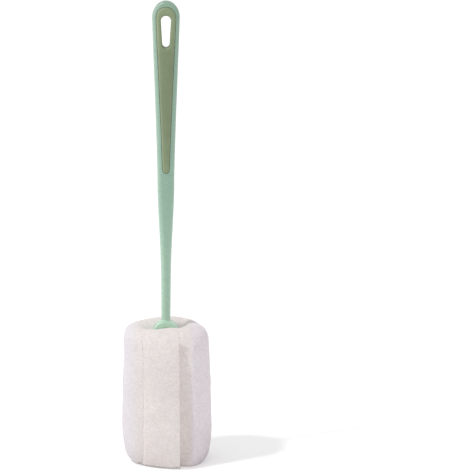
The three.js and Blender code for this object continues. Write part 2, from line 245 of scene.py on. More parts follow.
LIP_POINT = 0.4  # share of the lip at which its wall has a point
WALL_POINTS = 13
FAR_WALL_POINTS = 11
ROLL_STEPS = 18
BEND_STEPS = 8
KNEE_POINTS = 7
FOOT_GRID_HALF = 26
FOOT_GRID_PITCH = 1.6
FOOT_GRID_CLEAR = 0.9
SLAB_MARGIN = 10  # how far the slab that parts the legs sticks out above and below

# Heights that follow from the sizes
loop_top = FOAM_HEIGHT + LOOP_RISE
stem_top = loop_top + STEM_LENGTH
swell_top = stem_top + SWELL_LENGTH
neck_top = swell_top + NECK_LENGTH
head_centre = neck_top + PADDLE_LENGTH
handle_top = head_centre + HEAD_END_LENGTH
slot_top_centre = handle_top - SLOT_DROP - SLOT_TOP_RADIUS
slot_foot_centre = handle_top - SLOT_DROP - SLOT_LENGTH + SLOT_FOOT_RADIUS
grip_top = handle_top - GRIP_HEAD_RIM
grip_foot = grip_top - GRIP_LENGTH
loop_middle = (LOOP_WIDTH - LOOP_BAR) / 2


# Meshes


class Sheet:
    """Points and faces of one piece, gathered patch by patch."""

    def __init__(self):
        self.points = []
        self.faces = []

    def add(self, points, faces):
        first = len(self.points)
        self.points.extend(np.asarray(points).tolist())
        self.faces.extend([[first + int(i) for i in face] for face in faces])

    def rows(self, rows):
        """Quads between closed rows of equally many points."""
        count = len(rows[0])
        faces = []
        for r in range(len(rows) - 1):
            for i in range(count):
                j = (i + 1) % count
                low = r * count
                faces.append((low + i, low + j, low + count + j, low + count + i))
        self.add(np.concatenate(rows), faces)


def add_object(name, data):
    obj = bpy.data.objects.new(name, data)
    bpy.context.scene.collection.objects.link(obj)
    return obj


def make_solid(name, sheet):
    """A welded and closed object in metres, with all its faces turned outwards."""
    mesh = bpy.data.meshes.new(name)
    mesh.from_pydata((np.asarray(sheet.points) * MM).tolist(), [], sheet.faces)
    work = bmesh.new()
    work.from_mesh(mesh)
    bmesh.ops.remove_doubles(work, verts=work.verts, dist=WELD * MM)
    bmesh.ops.dissolve_degenerate(work, edges=work.edges, dist=SLIVER * MM)
    rim = [edge for edge in work.edges if edge.is_boundary]
    if rim:
        bmesh.ops.holes_fill(work, edges=rim, sides=0)
    bmesh.ops.recalc_face_normals(work, faces=work.faces)
    work.to_mesh(mesh)
    work.free()
    return add_object(name, mesh)


def make_piece(name, sheet, node):
    """A solid that stands for a CAD node."""
    obj = make_solid(name, sheet)
    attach(obj, "root")
    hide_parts(node)
    return obj


def combine(obj, other, operation):
    """Joins another closed mesh to obj, or cuts it out, and removes the other."""
    modifier = obj.modifiers.new(operation, "BOOLEAN")
    modifier.operation = operation
    modifier.solver = "EXACT"
    modifier.object = other
    graph = bpy.context.evaluated_depsgraph_get()
    result = bpy.data.meshes.new_from_object(obj.evaluated_get(graph))
    obj.modifiers.clear()
    obj.data = result
    bpy.data.objects.remove(other)


def smooth(obj, angle):
    obj.data.shade_smooth()
    obj.data.set_sharp_from_angle(angle=math.radians(angle))


# Numbers and plane curves


def grow(value, start, reach):
    """0 up to start, and then evenly up to 1."""
    return min(1, max(0, (value - start) / reach))


def fade(value, end, reach):
    """Evenly down from 1 to 0 at the end."""
    return min(1, max(0, (end - value) / reach))


def inside(points, loop):
    """Which points lie inside a closed polyline."""
    x, z = points[:, 0, None], points[:, 1, None]
    x0, z0 = loop[:, 0], loop[:, 1]
    x1, z1 = np.roll(x0, -1), np.roll(z0, -1)
    rise = np.where(z1 == z0, 1, z1 - z0)
    crosses = ((z0 > z) != (z1 > z)) & (x < (x1 - x0) * (z - z0) / rise + x0)
    return crosses.sum(axis=1) % 2 == 1


def distance(points, loop):
    """Distance from each point to a closed polyline."""
    step = np.roll(loop, -1, axis=0) - loop
    length = np.maximum((step**2).sum(axis=1), TINY**2)
    nearest = np.full(len(points), np.inf)
    for first in range(0, len(points), DISTANCE_BATCH):
        batch = slice(first, first + DISTANCE_BATCH)
        part = points[batch, None, :] - loop
        along = np.clip((part * step).sum(axis=2) / length, 0, 1)
        gap = part - along[..., None] * step
        nearest[batch] = np.sqrt((gap**2).sum(axis=2)).min(axis=1)
    return nearest


def evenly(loop, pitch):
    """The same closed polyline with evenly spaced points."""
    ends = np.vstack([loop, loop[:1]])
    along = np.concatenate([[0], np.cumsum(np.linalg.norm(np.diff(ends, axis=0), axis=1))])
    places = np.linspace(0, along[-1], int(along[-1] / pitch), endpoint=False)
    return np.stack([np.interp(places, along, ends[:, k]) for k in (0, 1)], axis=1)


def offset(loop, out):
    """An anticlockwise closed polyline moved outwards."""
    along = np.roll(loop, -1, axis=0) - np.roll(loop, 1, axis=0)
    along /= np.linalg.norm(along, axis=1)[:, None]
    return loop + out * np.stack([along[:, 1], -along[:, 0]], axis=1)


def triangulate(loops, points, keep):
    """Triangles that follow every loop and use every point, where keep holds at their centres."""
    corners, edges = [], []
    for loop in loops:
        first, count = len(corners), len(loop)
        corners.extend(Vector(p) for p in loop)
        edges.extend((first + i, first + (i + 1) % count) for i in range(count))
    corners.extend(Vector(p) for p in points)
    places, _, faces, *_ = delaunay_2d_cdt(corners, edges, [], 0, PLANE_MERGE)
    flat = np.array([p[:] for p in places])
    faces = np.array(faces)
    return flat, faces[keep(flat[faces].mean(axis=1))]


def triangulate_between(outer, inner, loops, points):
    """The same, inside one loop and outside another."""
    return triangulate(loops, points, lambda c: inside(c, outer) & ~inside(c, inner))


def rounded(gap, radius):
    """How far a rounded edge falls at a distance from its wall."""
    inwards = np.clip(radius - gap, 0, radius)
    return radius - np.sqrt(radius**2 - inwards**2)


def upright(loop, y):
    """Points of an X and Z loop at a depth."""
    return np.stack([loop[:, 0], np.broadcast_to(y, len(loop)), loop[:, 1]], axis=1)


# Handle

stations = np.array([loop_top, stem_top, swell_top, neck_top, head_centre])
station_sizes = np.array(
    [
        [STEM_FOOT_WIDTH, STEM_FOOT_WIDTH, STEM_SQUARENESS],
        [STEM_TOP_WIDTH, STEM_TOP_THICKNESS, STEM_SQUARENESS],
        [SWELL_WIDTH, SWELL_THICKNESS, PADDLE_SQUARENESS],
        [NECK_WIDTH, NECK_THICKNESS, PADDLE_SQUARENESS],
        [HEAD_WIDTH, HEAD_THICKNESS, PADDLE_SQUARENESS],
    ]
)


def section(z):
    """Half width, half thickness and squareness of the handle, smooth from station to station."""
    z = np.clip(np.asarray(z, float), loop_top, head_centre)
    k = np.clip(np.searchsorted(stations, z, side="right") - 1, 0, len(stations) - 2)
    before = np.where(k > 0, k - 1, k + 1)
    after = np.where(k < len(stations) - 2, k + 2, k)
    t0, t1 = stations[k], stations[k + 1]
    p = (z - t0) / (t1 - t0)
    w0 = 0.5 * (t1 - t0) / (t0 - stations[before])
    w1 = 0.5 * (t1 - t0) / (stations[after] - t1)
    weights = (
        (before, -w0 * p**3 + 2 * w0 * p**2 - w0 * p),
        (k, (1 + w0) * p**3 - (1.5 + 2 * w0) * p**2 + (w0 - 0.5) * p + 1),
        (k + 1, -(1 + w1) * p**3 + (1.5 + w1) * p**2 + 0.5 * p),
        (after, w1 * p**3 - w1 * p**2),
    )
    width, thickness, squareness = sum(w[..., None] * station_sizes[i] for i, w in weights).T
    return width / 2, thickness / 2, squareness


def end_turn(z):
    """How far the oval end of the handle has turned over at a height."""
    return np.arcsin(np.clip((np.asarray(z) - head_centre) / HEAD_END_LENGTH, 0, 1))


def handle_face(x, z, proud=0):
    """How far the handle's face stands out from its middle plane."""
    half_width, half_thickness, squareness = section(z)
    turned = np.cos(end_turn(z))
    share = np.clip(np.abs(x) / (half_width * turned), 0, 1)
    return (half_thickness + proud) * np.sqrt(turned) * (1 - share**squareness) ** (1 / squareness)


def pad_outline(inset, pitch):
    """The pad follows the paddle's edge, with an oval top and a round tip."""
    tip_centre = grip_foot + GRIP_TIP_LENGTH
    z = np.linspace(tip_centre, head_centre, PAD_SIDE_POINTS)
    up = np.clip((z - grip_foot) / (head_centre - grip_foot), 0, 1)
    x = section(z)[0] - (GRIP_TIP_RIM + (GRIP_RIM - GRIP_TIP_RIM) * up) - inset
    turn = np.linspace(0, math.pi, PAD_ARC_POINTS)
    rise, fall = grip_top - inset - head_centre, GRIP_TIP_LENGTH - inset
    top = np.stack([x[-1] * np.cos(turn), head_centre + rise * np.sin(turn)], axis=1)
    tip = np.stack([-x[0] * np.cos(turn), tip_centre - fall * np.sin(turn)], axis=1)
    right = np.stack([x, z], axis=1)[:-1]
    left = np.stack([-x, z], axis=1)[::-1][1:]
    return evenly(np.vstack([right, top, left, tip[1:-1]]), pitch)


def slot_outline(grown, pitch):
    """The teardrop slot: two arcs and the lines that touch both."""
    high, low = SLOT_TOP_RADIUS + grown, SLOT_FOOT_RADIUS + grown
    lean = math.asin((high - low) / (slot_top_centre - slot_foot_centre))
    turn = np.linspace(-lean, math.pi + lean, SLOT_ARC_POINTS)
    top = np.stack([high * np.cos(turn), slot_top_centre + high * np.sin(turn)], axis=1)
    turn = np.linspace(math.pi + lean, 2 * math.pi - lean, SLOT_ARC_POINTS)
    foot = np.stack([low * np.cos(turn), slot_foot_centre + low * np.sin(turn)], axis=1)
    return evenly(np.vstack([top, foot]), pitch)


def handle_to_flat(points):
    """Where points of an outline lie on the front half's flat pattern: round it, and up."""
    turned = end_turn(points[:, 1])
    half_width, _, squareness = section(points[:, 1])
    share = np.clip(np.abs(points[:, 0]) / (half_width * np.cos(turned)), 0, 1)
    angle = np.arccos(np.sign(points[:, 0]) * share ** (squareness / 2))
    height = np.minimum(points[:, 1], head_centre) + HEAD_END_LENGTH * turned
    return np.stack([angle * FLAT_RADIAN, height], axis=1)


def handle_to_space(flat):
    """Where points of the flat pattern lie on the front half of the handle."""
    angle = flat[:, 0] / FLAT_RADIAN
    turned = np.clip((flat[:, 1] - head_centre) / HEAD_END_LENGTH, 0, math.pi / 2)
    z = np.minimum(flat[:, 1], head_centre) + HEAD_END_LENGTH * np.sin(turned)
    half_width, half_thickness, squareness = section(z)
    up = np.clip((z - loop_top) / STEM_FILLET, 0, 1)
    fillet = STEM_FILLET * (1 - np.sqrt(1 - (1 - up) ** 2))
    half_width = half_width * np.cos(turned) + fillet
    half_thickness = half_thickness * np.sqrt(np.abs(np.cos(turned))) + fillet
    cosine, power = np.cos(angle), 2 / squareness
    x = half_width * np.sign(cosine) * np.abs(cosine) ** power
    y = half_thickness * np.abs(np.sin(angle)) ** power
    crown = LOOP_WIDTH / 2 - np.sqrt(np.maximum((LOOP_WIDTH / 2) ** 2 - x**2, 0))
    z = z - crown * np.clip(1 - (z - loop_top) / CROWN_FADE, 0, 1) ** 2
    return np.stack([x, -y, z], axis=1)


def handle_half():
    """The front half of the handle's skin, open where the pad lies, and that opening's outline."""
    foot = loop_top - LOOP_BAR / 2
    top = head_centre + HEAD_END_LENGTH * math.pi / 2
    heights = np.concatenate(
        [
            [foot, loop_top],
            loop_top + STEM_FILLET * np.array(FILLET_ROWS),
            np.linspace(loop_top + HANDLE_ROWS_FROM, head_centre, HANDLE_ROWS),
            np.linspace(head_centre, top, HANDLE_END_ROWS)[1:],
        ]
    )
    angles = np.linspace(0, math.pi, HANDLE_COLUMNS + 1) * FLAT_RADIAN
    outline = pad_outline(0, RECESS_PITCH)
    grid = np.array([(a, h) for h in heights for a in angles])
    spots = handle_to_space(grid)[:, [0, 2]]
    on_edge = np.isin(grid[:, 0], angles[[0, -1]]) | np.isin(grid[:, 1], heights[[0, -1]])
    free = ~inside(spots, outline) & (distance(spots, outline) > HANDLE_CLEAR)
    border = np.concatenate(
        [
            [(angles[0], h) for h in heights],
            [(a, heights[-1]) for a in angles[1:-1]],
            [(angles[-1], h) for h in heights[::-1]],
            [(a, heights[0]) for a in angles[-2:0:-1]],
        ]
    )
    bands = [handle_to_flat(offset(outline, RIM_ROUND * share)) for share in RIM_BANDS]
    loops = [border, *bands]
    flat, faces = triangulate(loops, grid[free & ~on_edge], lambda c: ~inside(c, bands[0]))
    points = handle_to_space(flat)
    near = inside(points[:, [0, 2]], offset(outline, 2 * RIM_ROUND))
    points[near, 1] += rounded(distance(points[near][:, [0, 2]], outline), RIM_ROUND)
    return points, faces, outline


def loop_path():
    """Directions out of the loop's stadium all round it, and the heights of the arcs' centres."""
    high = loop_top - LOOP_WIDTH / 2
    low = loop_top - LOOP_HEIGHT + LOOP_WIDTH / 2
    turn = np.linspace(0, math.pi, LOOP_ARC_POINTS)
    side = np.linspace(high, low, LOOP_SIDE_POINTS)[1:-1]
    path = [(np.cos(t), np.sin(t), high) for t in turn]
    path += [(-1, 0, z) for z in side]
    path += [(-np.cos(t), -np.sin(t), low) for t in turn]
    path += [(1, 0, z) for z in side[::-1]]
    return path


def loop_ring(grown):
    """The closed eye at the foot of the handle: a stadium swept by a bar with rounded edges."""
    out = LOOP_BAR / 2 + grown - LOOP_ROUND
    back = LOOP_DEPTH / 2 + grown - LOOP_ROUND
    bar = []
    for corner, (x, y) in enumerate(((out, back), (-out, back), (-out, -back), (out, -back))):
        for i in range(LOOP_CORNER_STEPS + 1):
            angle = (corner + i / LOOP_CORNER_STEPS) * math.pi / 2
            bar.append((x + LOOP_ROUND * math.cos(angle), y + LOOP_ROUND * math.sin(angle)))
    path = loop_path()
    rows = []
    for dx, dz, z in [*path, path[0]]:
        rows.append([(dx * (loop_middle + r), y, z + dz * (loop_middle + r)) for r, y in bar])
    ring = Sheet()
    ring.rows(rows)
    return ring


def build_handle():
    points, faces, outline = handle_half()
    lining = slot_outline(GRIP_LINING + MOULD_GAP, LINING_PITCH)
    web = WEB_THICKNESS / 2
    lip = handle_face(outline[:, 0], outline[:, 1]) - RIM_ROUND
    floor, floor_faces = triangulate_between(outline, lining, [outline, lining], [])
    sheet = Sheet()
    sheet.add(points, faces)
    sheet.add(points * [1, -1, 1], faces[:, ::-1])
    for side in (-1, 1):
        sheet.rows([upright(outline, side * (lip + (web - lip) * share)) for share in RECESS_WALL])
        sheet.add(upright(floor, side * web), floor_faces)
    sheet.rows([upright(lining, y) for y in (-web, 0, web)])
    handle = make_piece("handle", sheet, "handle_body")
    combine(handle, make_solid("loop_ring", loop_ring(0)), "UNION")
    smooth(handle, MOULDED_SHARP)
    return handle


# Soft grip


def build_grip():
    outline = pad_outline(SEAM, PAD_PITCH)
    slot = slot_outline(0, SLOT_PITCH)
    lining = slot_outline(GRIP_LINING, LINING_PITCH)
    edge_bands = [offset(outline, -PAD_ROUND * share) for share in PAD_BANDS]
    slot_bands = [offset(slot, SLOT_ROUND * share) for share in SLOT_BANDS]
    across = np.arange(-PAD_GRID_HALF, PAD_GRID_HALF + TINY, PAD_GRID_ACROSS)
    grid = np.array([(x, z) for z in np.arange(grip_foot, grip_top, PAD_GRID_UP) for x in across])
    grid = grid[inside(grid, edge_bands[-1]) & ~inside(grid, slot_bands[-1])]
    room = np.minimum(distance(grid, edge_bands[-1]), distance(grid, slot_bands[-1]))
    loops = [*edge_bands, *slot_bands]
    flat, faces = triangulate_between(outline, slot, loops, grid[room > PAD_GRID_CLEAR])

    def face(points):
        from_edge = distance(points, outline)
        crown = 1 - (1 - np.clip(from_edge / PAD_CROWN_REACH, 0, 1)) ** 2
        out = handle_face(points[:, 0], points[:, 1], GRIP_PROUD)
        out = out + PAD_CROWN * crown - rounded(from_edge, PAD_ROUND)
        return out - rounded(distance(points, slot), SLOT_ROUND)

    under = WEB_THICKNESS / 2 + MOULD_GAP
    height, edge, mouth = face(flat), face(outline), face(slot)
    floor, floor_faces = triangulate_between(outline, lining, [outline, lining], [])
    sheet = Sheet()
    for side in (-1, 1):
        sheet.add(upright(flat, side * height), faces)
        sheet.rows([upright(outline, side * (edge + (under - edge) * share)) for share in PAD_WALL])
        sheet.add(upright(floor, side * under), floor_faces)
    sheet.rows([upright(slot, mouth * share) for share in np.linspace(-1, 1, SLOT_WALL_ROWS)])
    sheet.rows([upright(lining, y) for y in (-under, 0, under)])
    grip = make_piece("grip", sheet, "soft_grip")
    smooth(grip, MOULDED_SHARP)
    return grip


# Foam

SPLIT, SHUT, OPEN = "split", "shut", "open"


def foam_profile():
    """Distance in from the belly's edge, and height, from foot to shoulder and in to the loop."""
    turn = np.linspace(0, math.pi / 2, FOOT_ROWS)
    foot = np.stack(
        [BASE_ROUND_WIDTH * (1 - np.sin(turn)), BASE_ROUND_HEIGHT * (1 - np.cos(turn))], axis=1
    )
    turn = np.linspace(0, math.pi / 2, SHOULDER_ROWS)
    shoulder = np.stack(
        [
            FOAM_TAPER + SHOULDER_WIDTH * (1 - np.cos(turn)),
            FOAM_HEIGHT - SHOULDER_HEIGHT * (1 - np.sin(turn)),
        ],
        axis=1,
    )
    side = np.linspace(foot[-1], shoulder[0], SIDE_ROWS)[1:-1]
    share = np.linspace(0, 1, DIMPLE_ROWS)[1:]
    crest = FOAM_TAPER + SHOULDER_WIDTH
    dimple = np.stack(
        [
            crest + (FOAM_DEPTH / 2 - LOOP_DEPTH / 2 - crest) * share,
            FOAM_HEIGHT - DIMPLE_DEPTH * (1 - np.cos(share * math.pi)) / 2,
        ],
        axis=1,
    )
    return np.vstack([foot, side, shoulder, dimple])


def lobe_edges(inset, z):
    """Angles round the plan, from the right-hand side, where lobes end, and what parts them."""
    half = FOAM_WIDTH / 2 - inset
    right = PANEL_RIGHT + PANEL_SPREAD * (1 - z / FOAM_HEIGHT)
    power = FOAM_SQUARENESS
    shares = [min(edge / half, PANEL_LIMIT) for edge in (PANEL_LEFT, right)]
    shut, opened = (math.atan2((1 - share**power) ** (1 / power), share) for share in shares)
    ends = [(0, SPLIT), (shut, SHUT), (math.pi - opened, OPEN)]
    return ends + [(angle + math.pi, kind) for angle, kind in ends] + [(2 * math.pi, SPLIT)]


def slit_state(kind, z):
    """How wide open a slit is at a height, and how much of its full depth it has, as shares."""
    height = OPEN_SLIT_HEIGHT if kind == OPEN else SHUT_SLIT_HEIGHT
    up = grow(z, height - OPEN_SLIT_ARCH, OPEN_SLIT_ARCH)
    depth = fade(z, height + SLIT_OVERRUN, SLIT_RUN_OUT)
    depth = depth if depth > SLIT_LEAST else 0
    return math.sqrt(1 - up**2) * depth, depth


def set_back(z):
    """How much of its set-back, or of its stand, each lobe has at a height."""
    return fade(z, SHUT_SLIT_HEIGHT, SET_BACK_HEIGHT)


def near_foot(z, height):
    """1 at the cut ends, and more and more gently down to 0 at a height."""
    return max(0, 1 - z / height) ** FOOT_FALL


def lobe_pull(lobe, share, z):
    """How far in a lobe's skin lies along its width."""
    if lobe == 0:  # beside the shut slit
        beside = np.clip((share - SET_BACK_FROM) / (1 - SET_BACK_FROM), 0, 1) ** 2
        at_foot = FOOT_SET_BACK * near_foot(z, FOOT_SET_BACK_HEIGHT)
        at_foot = at_foot * np.clip(share / FOOT_SET_BACK_SHARE, 0, 1)
        return SET_BACK * set_back(z) * beside + at_foot
    if lobe == 1:  # the middle one
        turned = PANEL_TURN * near_foot(z, PANEL_TURN_HEIGHT) * (share - PANEL_HINGE)
        return PANEL_CROWN * (1 - np.sin(share * math.pi)) - PANEL_PROUD * set_back(z) - turned
    left = min(1, OPEN_FOOT_SHARE + z / OPEN_FOOT_HEIGHT)
    beside = np.clip(1 - share / OPEN_SET_BACK_SHARE, 0, 1) ** 2
    crown = LOBE_CROWN * (1 - np.sin(share * math.pi / 2))
    return crown + OPEN_SET_BACK * set_back(z) * left * beside


def foam_point(angle, pull, inset, z):
    """Points of the foam's skin round the plan at one place of the profile."""
    half_width, half_depth = FOAM_WIDTH / 2, FOAM_DEPTH / 2
    cosine, sine, power = np.cos(angle), np.sin(angle), FOAM_SQUARENESS
    reach = (np.abs(cosine) ** power + np.abs(sine) ** power) ** (-1 / power)
    turned = np.clip(1 - np.abs(sine) * (half_depth - inset) / SPLIT_LIP_RADIUS, 0, 1)
    lip = SPLIT_LIP_DEPTH * (1 - np.sqrt(1 - turned**2))
    from_loop = (half_width - inset) * reach * cosine + LOOP_WIDTH / 2
    lip = lip * (1 - SPLIT_CLOSED * np.exp(-((from_loop / SPLIT_CLOSED_REACH) ** 2)))
    past_loop = (from_loop - LOOP_WIDTH + SPLIT_OPENED_EARLY) / SPLIT_OPENED_REACH
    lip = lip * (1 + SPLIT_OPENED * np.clip(past_loop, 0, 1))
    sideways = fade(z, FOAM_HEIGHT, SHOULDER_HEIGHT)
    inset_here = inset + lip * sideways
    x = (half_width - inset_here) * reach * cosine
    up = grow(z, FOLD_SLOPE_FOOT, FOLD_SLOPE_TOP - FOLD_SLOPE_FOOT)
    slope = FOLD_SLOPE * (1 - math.cos(up * math.pi)) / 2
    slope *= grow(half_depth - inset, 0, FOLD_SLOPE_REACH)
    y = (half_depth - inset_here - pull - slope) * reach * sine
    outer = np.abs(x - CREST_PLACE) / (half_width - FOAM_TAPER - SHOULDER_WIDTH)
    rise = CREST_RISE * np.clip(1 - outer, 0, 1) * np.clip(y / CREST_BACK, 0, 1)
    for place_x, place_y, width, depth in LOOP_DIPS:
        rise = rise - depth * np.exp(-((x - place_x) ** 2 + (y - place_y) ** 2) / width**2)
    return np.stack([x, y, z + (rise - lip) * (1 - sideways)], axis=-1)


def foam_ring(inset, z):
    """One closed ring round the foam that turns in along every slit and out again."""
    half = FOAM_DEPTH / 2 - inset
    slit_room = FOAM_DEPTH / 2 - SLIT_FLOOR_RADIUS
    groove = GROOVE_WIDTH * np.clip((half - SLIT_FLOOR_RADIUS) / slit_room, GROOVE_LEAST, 1)
    share = (1 - np.cos(np.linspace(0, math.pi, LOBE_POINTS))) / 2
    ends = lobe_edges(inset, z)
    lobes = []
    for lobe, ((start, kind), (end, _)) in enumerate(zip(ends, ends[1:])):
        if kind == OPEN:
            start += groove * slit_state(OPEN, z)[0] / half
        if kind == SHUT:
            start += PANEL_ROUND * set_back(z) / half
        pull = lobe_pull(lobe % 3, share, z)
        lobes.append(foam_point(start + (end - start) * share, pull, inset, z))
    ring = []
    for lobe, skin in enumerate(lobes):
        angle, kind = ends[lobe + 1]
        ring.extend(skin[:-1])
        if kind != SPLIT:
            plain = foam_point(angle, 0, inset, z)
            ring.extend(slit_walls(skin[-1], lobes[lobe + 1], plain, angle, kind, z))
    return np.array(ring)


def bend(start, corner, end, steps):
    """Points of a curve that leaves start towards corner and arrives at end from it."""
    t = np.linspace(0, 1, steps + 1)[:, None]
    return start * (1 - t) ** 2 + 2 * corner * t * (1 - t) + end * t**2


def roll(start, leave, arrive, end, steps):
    """Points of a curve that leaves start towards one corner and arrives at end from another."""
    t = np.linspace(0, 1, steps + 1)[:, None]
    first = start * (1 - t) ** 3 + 3 * leave * t * (1 - t) ** 2
    return first + 3 * arrive * t**2 * (1 - t) + end * t**3


def slit_walls(lip, next_skin, plain, angle, kind, z):
    """Points in from a lobe's edge to the slit's floor, and out along the next lobe's wall."""
    opened, depth = slit_state(kind, z)
    far_lip = next_skin[0]
    outwards = np.array([math.cos(angle), math.sin(angle), 0])
    gap = np.array([-math.sin(angle), math.cos(angle), 0]) * SLIT_WIDTH * depth
    floor = outwards * SLIT_FLOOR_RADIUS
    floor[2] = lip[2]
    floor = lip + (floor - lip) * depth
    long = max(np.linalg.norm(floor - lip), TINY)
    inner = lip + (floor - lip) * min(SLIT_LIP_SHARE, SLIT_LIP / long) * depth
    wall = [lip + (inner - lip) * LIP_POINT, *np.linspace(inner, floor, WALL_POINTS)]
    if kind == OPEN:
        proud = max(0, abs(lip[1]) - abs(plain[1]))
        deep = (np.interp(z, GROOVE_HEIGHTS, GROOVE_DEPTHS) + proud) * opened
        meeting = lip + (floor - lip) * deep / max(long, deep) + gap
        tangent = next_skin[0] - next_skin[2]
        tangent /= max(np.linalg.norm(tangent), TINY)
        across = far_lip - plain
        brow = far_lip + tangent * np.linalg.norm(across) * GROOVE_BROW
        turn = roll(far_lip, brow, meeting + across * GROOVE_SWEEP, meeting, ROLL_STEPS)
    else:
        meeting = inner + gap
        corner = outwards * np.linalg.norm(far_lip[:2]) + gap
        corner[2] = far_lip[2]
        corner = far_lip + (corner - far_lip) * set_back(z)
        drop = np.linalg.norm(meeting - corner)
        knee = corner + (meeting - corner) * min(1, PANEL_ROUND / max(drop, TINY))
        straight = np.linspace(knee, meeting, KNEE_POINTS)[1:]
        turn = np.vstack([bend(far_lip, corner, knee, BEND_STEPS), straight])
    far_wall = np.linspace(meeting, floor + gap, FAR_WALL_POINTS)
    return [*wall, *far_wall[::-1], *turn[::-1][1:-1]]


def split_slab():
    """What parts the two legs: a thin slab, open where the strip passes through the loop's eye."""
    reach, below, above = FOAM_WIDTH, -SLAB_MARGIN, FOAM_HEIGHT + SLAB_MARGIN
    rim = np.array([(-reach, below), (reach, below), (reach, above), (-reach, above)], float)
    eye = np.array([(dx * loop_middle, z + dz * loop_middle) for dx, dz, z in loop_path()])
    flat, faces = triangulate([rim, eye], [], lambda c: ~inside(c, eye))
    slab = Sheet()
    for side in (-1, 1):
        slab.add(upright(flat, side * SPLIT_WIDTH / 2), faces)
    for loop in (rim, eye):
        slab.rows([upright(loop, side * SPLIT_WIDTH / 2) for side in (-1, 1)])
    return slab


def foam_sheet():
    """The folded strip as one closed skin, still without its split and the room for the loop."""
    rings = [foam_ring(inset, z) for inset, z in foam_profile()]
    sheet = Sheet()
    sheet.rows(rings)
    foot = rings[0][:, :2]
    places = np.arange(-FOOT_GRID_HALF, FOOT_GRID_HALF + TINY, FOOT_GRID_PITCH)
    grid = np.array([(x, y) for y in places for x in places])
    grid = grid[inside(grid, foot)]
    grid = grid[distance(grid, foot) > FOOT_GRID_CLEAR]
    flat, faces = triangulate([foot], grid, lambda c: inside(c, foot))
    sheet.add(np.column_stack([flat, np.zeros(len(flat))]), faces)
    top = rings[-1]
    top = top[np.linalg.norm(top - np.roll(top, 1, axis=0), axis=1) > 0]
    _, faces = triangulate([top[:, :2]], [], lambda c: inside(c, top[:, :2]))
    sheet.add(top, faces)
    return sheet


def build_foam():
    foam = make_piece("foam", foam_sheet(), "sponge_strip")
    combine(foam, make_solid("loop_room", loop_ring(FOAM_CONTACT)), "DIFFERENCE")
    combine(foam, make_solid("split", split_slab()), "DIFFERENCE")
    soften(foam)
    smooth(foam, FOAM_SHARP)
    return foam


def unevenness(place):
    """Shift of cut foam, broad and fine, that moves both sides of a slit together."""
    shift = Vector((0, 0, 0))
    for size, grain, start in UNEVENNESS:
        shift += size * noise.noise_vector(place / grain + Vector(start))
    return shift * max(UNEVEN_LEAST, grow(math.hypot(place.x, place.y), *UNEVEN_FROM_AXIS))


def lean(place):
    """How far the foam hangs to the right, and its upper corners to their own sides."""
    right = FOAM_LEAN * fade(place.z, FOAM_HEIGHT - SHOULDER_HEIGHT / 2, SHOULDER_HEIGHT)
    right *= 1 + LEFT_FOOT_LEAN * fade(place.z, *LEFT_FOOT_UP) * grow(-place.x, *LEFT_FOOT_ACROSS)
    height, reach = FULL_SHOULDER_UP
    corner = math.exp(-(((place.z - height) / reach) ** 2)) * place.x / FULL_SHOULDER_ACROSS
    right += FULL_SHOULDER * (corner if place.x < 0 else FULL_SHOULDER_RIGHT * corner)
    return right * grow(math.hypot(place.x, place.y), *LEAN_FROM_AXIS)


def swell(place, side):
    """How far a leg's soft swells stand out."""
    out = 0
    for across, height, wide, high, rise in SWELLS:
        away = ((-side * place.x - across) / wide) ** 2 + ((place.z - height) / high) ** 2
        out += rise * math.exp(-away) * grow(abs(place.y), *SWELLS_FROM_SPLIT)
    return out


def full_foot(place):
    """How far the front of the foot moves out, as a share of its distance from the middle."""
    out = FULL_FOOT * grow(place.x, *FULL_FOOT_ACROSS)
    out += FULL_FOOT_LEFT * grow(-place.x, *FULL_FOOT_LEFT_ACROSS)
    near = fade(abs(place.x), *FOOT_CORNER)
    far = (1 - near) * FOOT_CORNER_SHARE * math.exp(-((place.z / FOOT_CORNER_FALL) ** 2))
    out *= near * math.exp(-place.z / FULL_FOOT_FALL) + far
    out *= fade(place.y, *FULL_FOOT_BACK)
    return out / max(1, math.hypot(place.x, place.y))


def left_lift(place):
    """How far the front left lobe is lifted."""
    lift = LEFT_LIFT * grow(-place.x, *LEFT_LIFT_ACROSS) * grow(-place.y, *LEFT_LIFT_FRONT)
    return lift * max(0, 1 - place.z / LEFT_LIFT_HEIGHT)


def soften(obj):
    """Gives the foam's skin its unevenness, lean and fullness, with its cut ends kept flat."""
    noise.seed_set(NOISE_SEED)
    for vertex in obj.data.vertices:
        place = vertex.co / MM
        side = 1 if place.y > 0 else -1
        foot = full_foot(place)
        give = Vector((lean(place) + foot * place.x, side * swell(place, side) + foot * place.y, 0))
        moved = place + unevenness(place) + give
        moved.z = (max(moved.z, 0) if place.z > CUT_END else 0) + left_lift(place)
        vertex.co = moved * MM
    obj.data.update()


# Materials


def grey(level):
    return (level, level, level)


NOISE_MIDDLE = (0.3, 0.7)  # where nearly all of a noise texture's values lie
NOISE_ROUGHNESS = 0.55
MIX_INPUTS = (0, 6, 7)  # a mix node's sockets for the share and two colours
MIX_RESULT = 2
MINT_AND_PAINTED_LIGHT = (  # share of the way from the foam's top to the handle's end, and colour there: the mint with painted light, palest on the loop and paler down the stem, darker towards the head
    (0.004, (0.500, 0.725, 0.560)),
    (0.02, (0.390, 0.580, 0.445)),
    (0.46, (0.305, 0.475, 0.368)),
    (1, (0.285, 0.425, 0.330)),
)
MINT_CLOUDS = (grey(0.95), grey(1))
OLIVE_CLOUDS = ((0.195, 0.245, 0.135), (0.230, 0.280, 0.165))
OLIVE_PAINTED_LIGHT = (  # share of the way up a pad, and how much paler it is there: painted light, paler towards the tip, and from the hanging slot up to the head as a painted highlight on the slot's rim and the head's top
    (0, grey(1.20)),
    (0.12, grey(1.13)),
    (0.25, grey(1)),
    (0.72, grey(1)),
    (0.78, (1.19, 1.19, 1.17)),
    (1, grey(1.24)),
)
FOAM_CLOUDS = ((0.865, 0.800, 0.782), (0.910, 0.845, 0.826))
